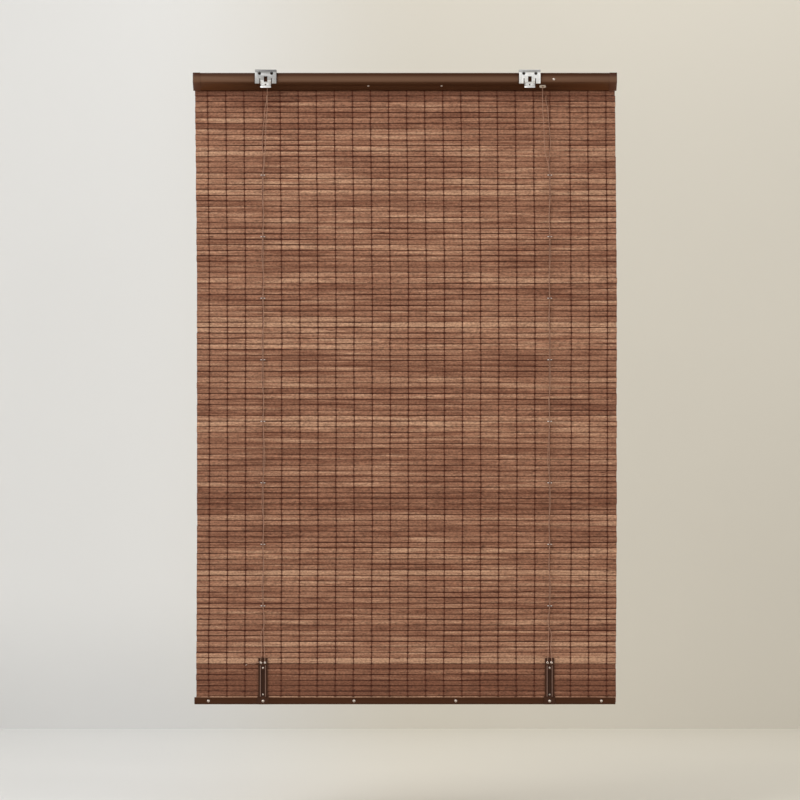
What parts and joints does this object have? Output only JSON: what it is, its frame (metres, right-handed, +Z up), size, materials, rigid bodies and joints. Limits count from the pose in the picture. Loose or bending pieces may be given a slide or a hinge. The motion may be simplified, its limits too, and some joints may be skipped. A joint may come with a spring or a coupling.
{
  "type": "bamboo roman shade",
  "caption": "Cordless woven bamboo roman shade on wall brackets; its mat is drawn up from the bottom rail by a spring-wound lift unit in the headrail.",
  "frame": {"origin": "on the wall, in the middle of the shade's width, level with the headrail's top edge", "axes": "+Z up, +Y from the wall into the room, +X to the right for someone who looks from the wall into the room"},
  "size_m": [0.914, 0.0452, 1.3705],
  "materials": {
    "rail_paint": "dark brown enamel, satin",
    "brown_plastic": "moulded, slightly reddish brown",
    "dark_plastic": "moulded, fine texture",
    "pale_plastic": "moulded, off-white",
    "plated_steel": "zinc plated, bright",
    "spring_steel": "plain steel",
    "rivet_metal": "nickel plated",
    "ring_metal": "nickel plated wire",
    "tape": "hook tape",
    "bamboo": "stained bamboo, matt, fine long grain",
    "thread": "twisted cotton thread, dark brown",
    "cord": "braided polyester cord, beige"
  },
  "bodies": {
    "frame": {"headrail": "rail_paint", "end_cap_left": "brown_plastic", "end_cap_right": "brown_plastic", "bracket_left": "plated_steel", "bracket_right": "plated_steel", "cord_guide_left": "pale_plastic", "cord_guide_right": "pale_plastic", "spool_cradle_left": "pale_plastic", "spool_cradle_right": "pale_plastic", "cradle_rivets": "rivet_metal", "motor_case": "dark_plastic", "motor_cover": "dark_plastic", "motor_screws": "rivet_metal", "power_spring": "spring_steel", "fixing_tape": "tape", "slat_mat": "bamboo", "warp_threads": "thread", "lift_cord_left": "cord", "lift_cord_right": "cord", "ring_cord_left": "cord", "ring_cord_right": "cord"},
    "tongue_left": {"bracket_tongue_left": "plated_steel"},
    "tongue_right": {"bracket_tongue_right": "plated_steel"},
    "lift_shaft": {"lift_shaft": "spring_steel", "spool_left": "pale_plastic", "spool_right": "pale_plastic", "drive_drum": "pale_plastic"},
    "lift_rail": {"bottom_slats": "bamboo", "bottom_threads": "thread", "bottom_rail": "rail_paint", "rail_plug_left": "brown_plastic", "rail_plug_right": "brown_plastic", "weight_bar": "spring_steel", "rail_rivets": "rivet_metal", "leveller_left": "brown_plastic", "leveller_right": "brown_plastic", "leveller_rivets": "rivet_metal", "leveller_screws": "rivet_metal", "leveller_eyelets": "rivet_metal", "cord_tail": "cord"},
    "shuttle_left": {"leveller_shuttle_left": "brown_plastic", "clamp_screw_left": "rivet_metal"},
    "shuttle_right": {"leveller_shuttle_right": "brown_plastic", "clamp_screw_right": "rivet_metal"},
    "ring_level_1": {"ring_level_1": "ring_metal"},
    "ring_level_2": {"ring_level_2": "ring_metal"},
    "ring_level_3": {"ring_level_3": "ring_metal"},
    "ring_level_4": {"ring_level_4": "ring_metal"},
    "ring_level_5": {"ring_level_5": "ring_metal"},
    "ring_level_6": {"ring_level_6": "ring_metal"},
    "ring_level_7": {"ring_level_7": "ring_metal"},
    "ring_level_8": {"ring_level_8": "ring_metal"}
  },
  "joints": [
    {"name": "lift", "type": "slide", "parent": "frame", "child": "lift_rail", "axis": [0, 0, 1], "range_m": [0, 1.06], "deforming": ["slat_mat", "warp_threads", "lift_cord_left", "lift_cord_right", "ring_cord_left", "ring_cord_right"]},
    {"name": "shaft_turn", "type": "hinge", "parent": "frame", "child": "lift_shaft", "pos_m": [0, 0.023, -0.015], "axis": [1, 0, 0], "range_deg": [0, 7083]},
    {"name": "ring_1_slide", "type": "slide", "parent": "frame", "child": "ring_level_1", "axis": [0, 0, 1], "range_m": [0, 0.16]},
    {"name": "ring_2_slide", "type": "slide", "parent": "frame", "child": "ring_level_2", "axis": [0, 0, 1], "range_m": [0, 0.2748]},
    {"name": "ring_3_slide", "type": "slide", "parent": "frame", "child": "ring_level_3", "axis": [0, 0, 1], "range_m": [0, 0.3897]},
    {"name": "ring_4_slide", "type": "slide", "parent": "frame", "child": "ring_level_4", "axis": [0, 0, 1], "range_m": [0, 0.5045]},
    {"name": "ring_5_slide", "type": "slide", "parent": "frame", "child": "ring_level_5", "axis": [0, 0, 1], "range_m": [0, 0.6195]},
    {"name": "ring_6_slide", "type": "slide", "parent": "frame", "child": "ring_level_6", "axis": [0, 0, 1], "range_m": [0, 0.7342]},
    {"name": "ring_7_slide", "type": "slide", "parent": "frame", "child": "ring_level_7", "axis": [0, 0, 1], "range_m": [0, 0.8492]},
    {"name": "ring_8_slide", "type": "slide", "parent": "frame", "child": "ring_level_8", "axis": [0, 0, 1], "range_m": [0, 0.9639]},
    {"name": "tongue_left", "type": "hinge", "parent": "frame", "child": "tongue_left", "pos_m": [-0.3, 0.002, -0.015], "axis": [1, 0, 0], "range_deg": [-5, 0], "stiffness_Nm_per_rad": 2, "springref_deg": 2.86},
    {"name": "shuttle_left", "type": "slide", "parent": "lift_rail", "child": "shuttle_left", "axis": [0, 0, -1], "range_m": [0, 0.042]},
    {"name": "tongue_right", "type": "hinge", "parent": "frame", "child": "tongue_right", "pos_m": [0.269, 0.002, -0.015], "axis": [1, 0, 0], "range_deg": [-5, 0], "stiffness_Nm_per_rad": 2, "springref_deg": 2.86},
    {"name": "shuttle_right", "type": "slide", "parent": "lift_rail", "child": "shuttle_right", "axis": [0, 0, -1], "range_m": [0, 0.042]}
  ],
  "couplings": [
    {"joint": "shaft_turn", "follows": "lift", "rad_per_m": 116.28},
    {"joint": "ring_1_slide", "follows": "lift", "ratio": 0.1491},
    {"joint": "ring_2_slide", "follows": "lift", "ratio": 0.2574},
    {"joint": "ring_3_slide", "follows": "lift", "ratio": 0.3658},
    {"joint": "ring_4_slide", "follows": "lift", "ratio": 0.4741},
    {"joint": "ring_5_slide", "follows": "lift", "ratio": 0.5825},
    {"joint": "ring_6_slide", "follows": "lift", "ratio": 0.6908},
    {"joint": "ring_7_slide", "follows": "lift", "ratio": 0.7992},
    {"joint": "ring_8_slide", "follows": "lift", "ratio": 0.9075}
  ]
}
